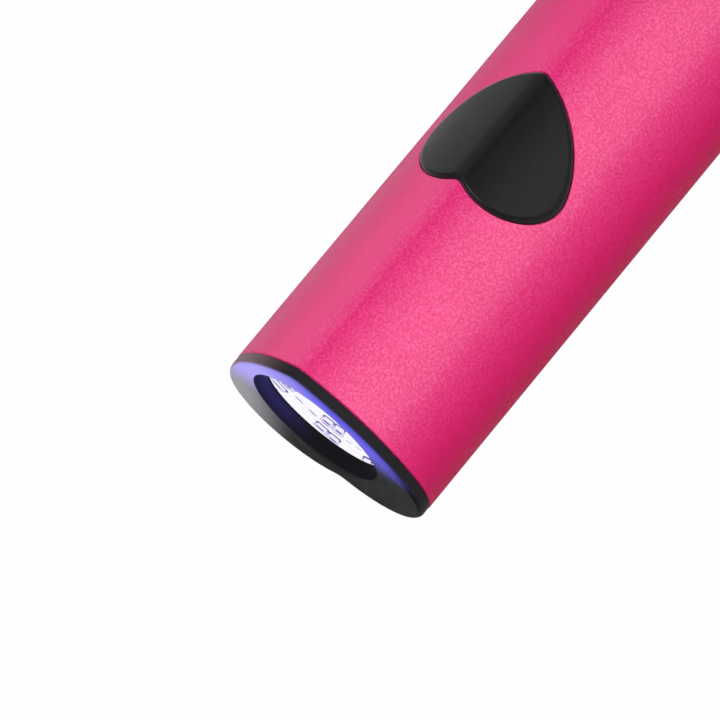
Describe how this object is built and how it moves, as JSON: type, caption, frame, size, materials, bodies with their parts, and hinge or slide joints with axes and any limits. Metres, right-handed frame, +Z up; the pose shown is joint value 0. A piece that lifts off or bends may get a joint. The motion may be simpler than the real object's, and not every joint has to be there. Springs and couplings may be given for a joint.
{
  "type": "mini uv nail lamp",
  "caption": "Pocket nail lamp: heart-section metal tube with a lit lens in its black front cap, a heart-shaped push key over the ridge and a charging socket in the tail.",
  "frame": {"origin": "on the surface that the lamp lies on, under the middle of its bounding box", "axes": "+Z up through the ridge and the key, -Y out of the lens, +Y to the charging end, X across"},
  "size_m": [0.03, 0.095, 0.0282],
  "materials": {
    "pink_metal": "bead-blasted, pink anodised",
    "black_gloss": "glossy black",
    "key_black": "satin black",
    "clear_plastic": "clear, lit from behind",
    "white_plastic": "white, half-gloss",
    "grey_plastic": "moulded grey",
    "silicone": "soft silicone",
    "bare_aluminium": "as cut",
    "cell_metal": "nickel plated",
    "nickel_strip": "nickel plated",
    "screw_steel": "zinc plated",
    "socket_steel": "tin plated",
    "board_green": "solder resist",
    "chip_black": "moulded epoxy",
    "inductor_grey": "ferrite",
    "sleeve_blue": "shrink film",
    "paper": "fish paper",
    "foam": "closed-cell foam",
    "red_wire": "silicone sleeve",
    "black_wire": "silicone sleeve",
    "emitter": "lit violet"
  },
  "bodies": {
    "lamp_body": {"body_tube": "pink_metal", "front_bezel": "black_gloss", "rear_cap": "black_gloss", "lens_window": "clear_plastic", "lens_gasket": "silicone", "reflector": "white_plastic", "led_board": "white_plastic", "heat_sink": "bare_aluminium", "led_bead_1": "emitter", "led_bead_2": "emitter", "led_bead_3": "emitter", "led_bead_4": "emitter", "led_bead_5": "emitter", "led_bead_6": "emitter", "led_bead_7": "emitter", "head_screw_left": "screw_steel", "head_screw_right": "screw_steel", "inner_frame": "grey_plastic", "battery_can": "cell_metal", "battery_cap": "nickel_strip", "battery_sleeve": "sleeve_blue", "positive_tab": "nickel_strip", "negative_tab": "nickel_strip", "battery_pad": "foam", "insulating_sheet": "paper", "control_board": "board_green", "board_screw_1": "screw_steel", "board_screw_2": "screw_steel", "board_screw_3": "screw_steel", "board_screw_4": "screw_steel", "tact_switch_base": "chip_black", "tact_switch_dome": "nickel_strip", "usb_socket_shell": "socket_steel", "usb_socket_tongue": "chip_black", "charge_chip": "chip_black", "timer_chip": "chip_black", "driver_mosfet": "chip_black", "power_inductor": "inductor_grey", "indicator_led": "white_plastic", "light_pipe": "clear_plastic", "led_lead_red": "red_wire", "led_lead_black": "black_wire"},
    "key": {"button_cap": "key_black"},
    "plunger": {"tact_switch_plunger": "white_plastic"}
  },
  "joints": [
    {"name": "button_press", "type": "slide", "parent": "lamp_body", "child": "key", "axis": [0, 0, -1], "range_m": [0, 0.0005], "stiffness_N_per_m": 3000},
    {"name": "switch_press", "type": "slide", "parent": "lamp_body", "child": "plunger", "axis": [0, 0, -1], "range_m": [0, 0.0005], "deforming": ["tact_switch_dome"]}
  ],
  "couplings": [
    {"joint": "switch_press", "follows": "button_press", "ratio": 1}
  ]
}
